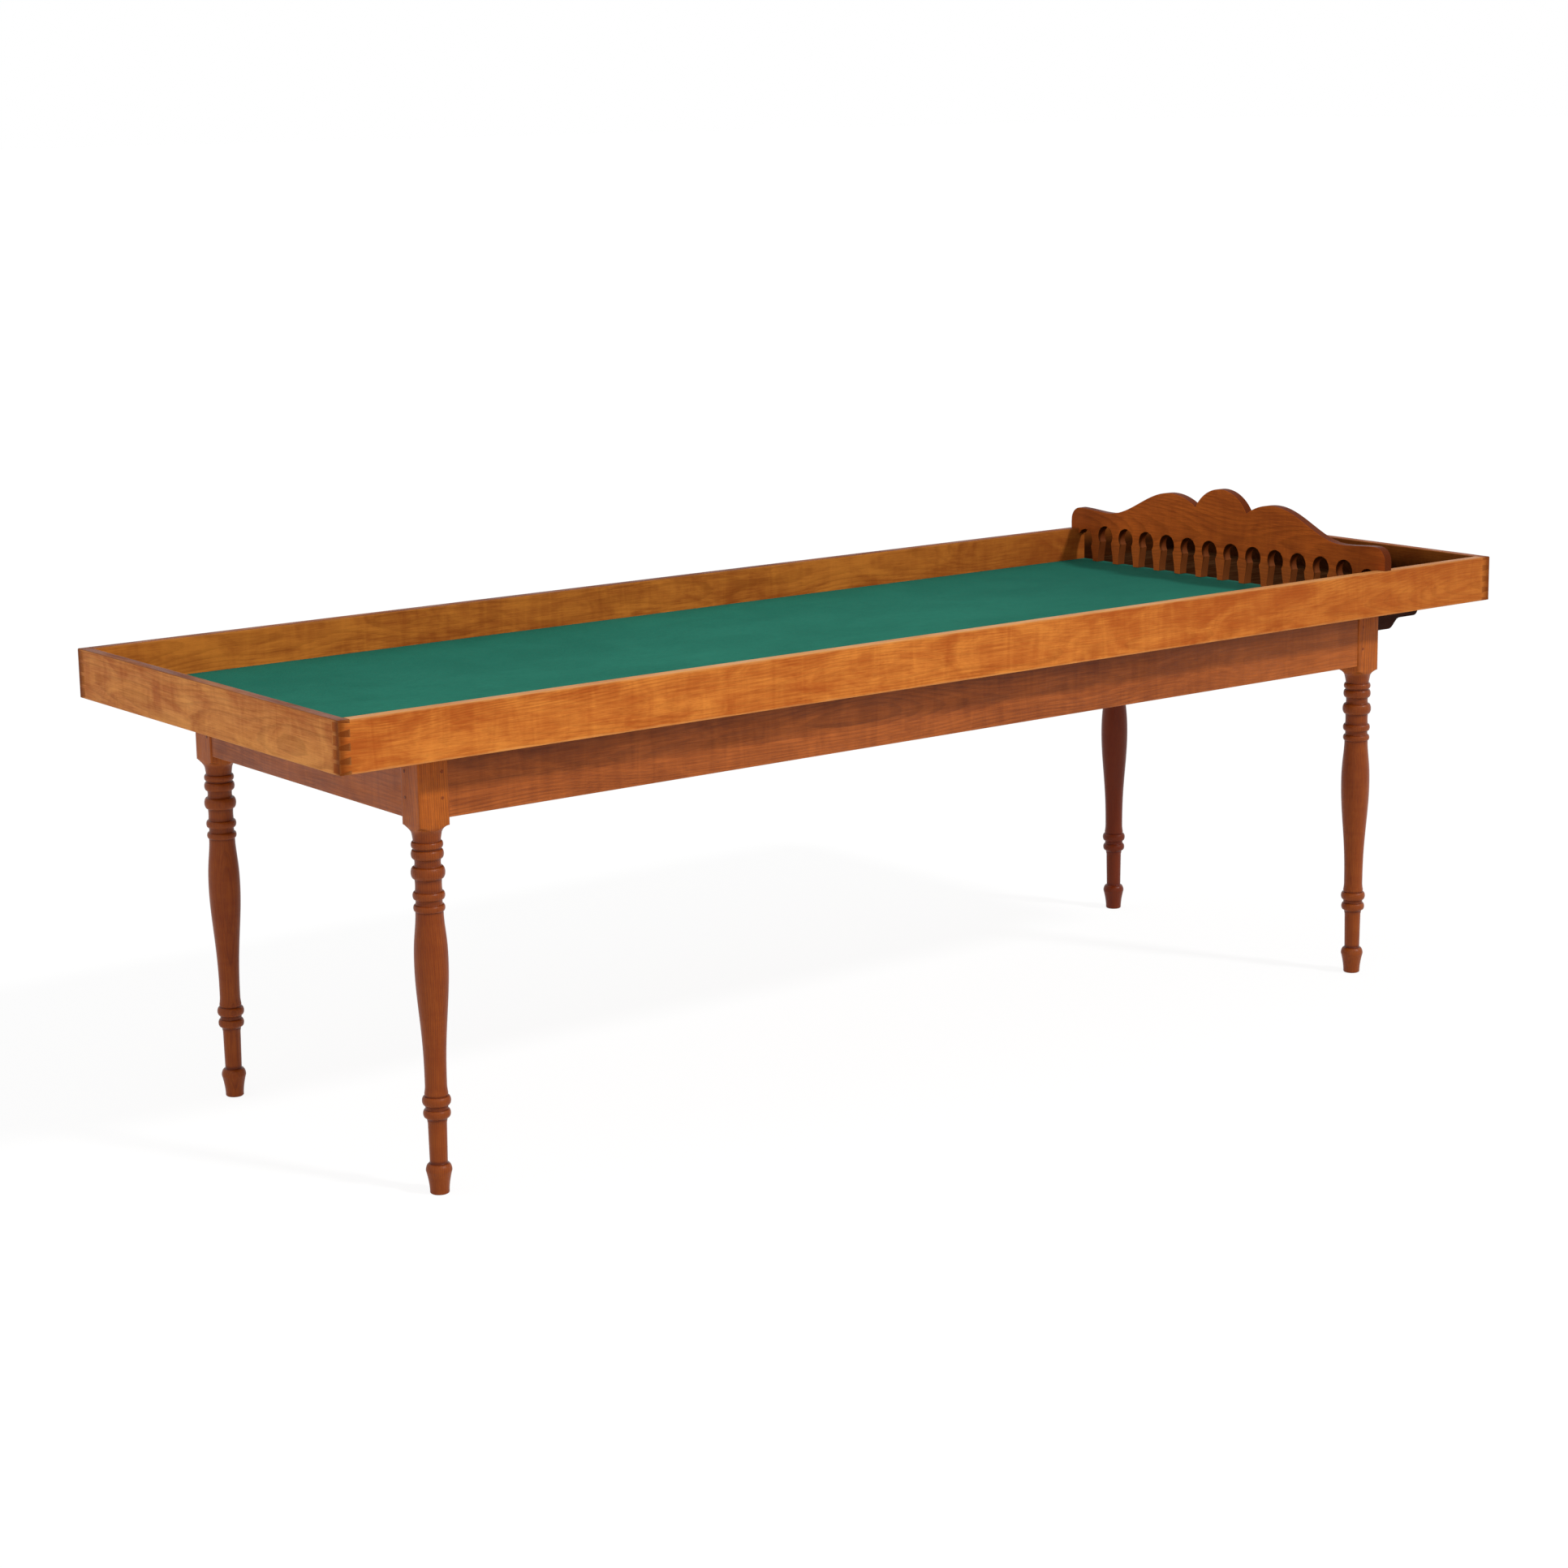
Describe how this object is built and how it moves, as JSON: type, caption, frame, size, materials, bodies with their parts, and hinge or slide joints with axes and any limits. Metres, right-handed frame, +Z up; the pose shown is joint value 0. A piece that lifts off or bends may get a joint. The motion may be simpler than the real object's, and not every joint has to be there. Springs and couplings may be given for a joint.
{
  "type": "carom billiards table",
  "caption": "Long dovetailed tray table with a green cloth bed and a scrolled, arcaded gallery that lift off a stand with turned legs.",
  "frame": {"origin": "on the floor, under the middle of the tray", "axes": "+X along the table towards the gallery end, +Y across it towards the back, +Z up"},
  "size_m": [2.535, 0.872, 0.916],
  "materials": {
    "rail_wood": "old shellac, bright orange-brown, satin gloss",
    "stand_wood": "old shellac, reddish brown, satin gloss",
    "gallery_wood": "old shellac, dark orange-brown, worn",
    "inner_wood": "bare, aged",
    "peg_wood": "end grain, stained with the frame",
    "screw_iron": "darkened iron",
    "green_baize": "napped wool cloth, glued down"
  },
  "bodies": {
    "stand": {"leg_front_left": "stand_wood", "leg_front_right": "stand_wood", "leg_back_left": "stand_wood", "leg_back_right": "stand_wood", "apron_front": "stand_wood", "apron_back": "stand_wood", "apron_left": "stand_wood", "apron_right": "stand_wood", "apron_pegs": "peg_wood", "bearer_left": "inner_wood", "bearer_right": "inner_wood", "corbel_front": "stand_wood", "corbel_back": "stand_wood"},
    "tray": {"rail_front": "rail_wood", "rail_back": "rail_wood", "rail_left": "rail_wood", "rail_right": "rail_wood", "bed_plank_1": "inner_wood", "bed_plank_2": "inner_wood", "bed_plank_3": "inner_wood", "bed_plank_4": "inner_wood", "batten_left": "inner_wood", "batten_middle": "inner_wood", "batten_right": "inner_wood", "batten_screws": "screw_iron", "baize": "green_baize"},
    "gallery": {"gallery_board": "gallery_wood", "gallery_pegs": "peg_wood"}
  },
  "joints": [
    {"name": "tray_lift", "type": "slide", "parent": "stand", "child": "tray", "axis": [0, 0, 1], "range_m": [0, 0.3]},
    {"name": "gallery_lift", "type": "slide", "parent": "tray", "child": "gallery", "axis": [0, 0, 1], "range_m": [0, 0.2]}
  ]
}
